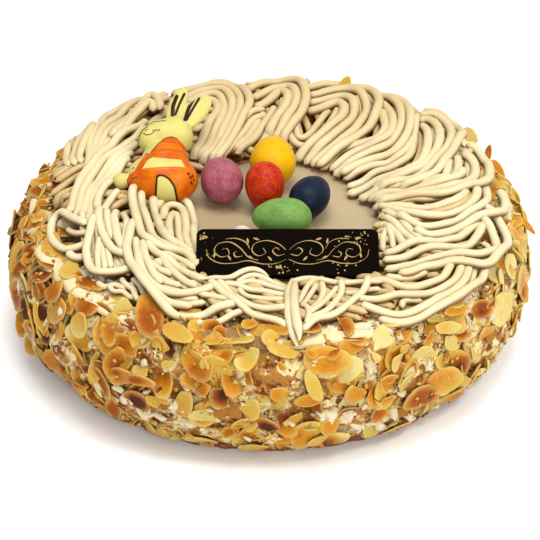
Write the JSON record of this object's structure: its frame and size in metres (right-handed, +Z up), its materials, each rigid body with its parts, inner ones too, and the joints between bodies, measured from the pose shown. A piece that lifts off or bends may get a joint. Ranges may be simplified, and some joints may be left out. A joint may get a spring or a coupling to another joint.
{
  "type": "praline nest cake",
  "caption": "Round praline cake coated with toasted almond flakes, topped with a nest of piped cream that holds sugar eggs, a chocolate plaque and a moulded sugar rabbit.",
  "frame": {"origin": "centre of the cake's flat underside", "axes": "+Z up from the underside to the nest, -Y towards the front where the plaque lies, +X to the right seen from the front"},
  "size_m": [0.1988, 0.1993, 0.0754],
  "materials": {
    "sponge": "porous baked crumb",
    "almond_coat": "toasted almond flakes on cream",
    "praline_smooth": "smooth spread cream",
    "praline_strands": "soft piped cream",
    "white_cream": "soft cream",
    "sugar_pink": "speckled sugar shell",
    "sugar_yellow": "smooth sugar shell",
    "sugar_red": "mottled sugar shell",
    "sugar_blue": "speckled sugar shell",
    "sugar_green": "mottled sugar shell",
    "chocolate": "glossy dark chocolate with gold specks",
    "moulded_sugar": "moulded and painted, pale yellow, orange and brown"
  },
  "bodies": {
    "root": {"sponge_base": "sponge", "cake_body": "almond_coat", "top_cream": "praline_smooth", "nest": "praline_strands", "cream_dab": "white_cream", "egg_pink": "sugar_pink", "egg_yellow": "sugar_yellow", "egg_red": "sugar_red", "egg_blue": "sugar_blue", "egg_green": "sugar_green", "plaque": "chocolate", "rabbit": "moulded_sugar"}
  },
  "joints": []
}
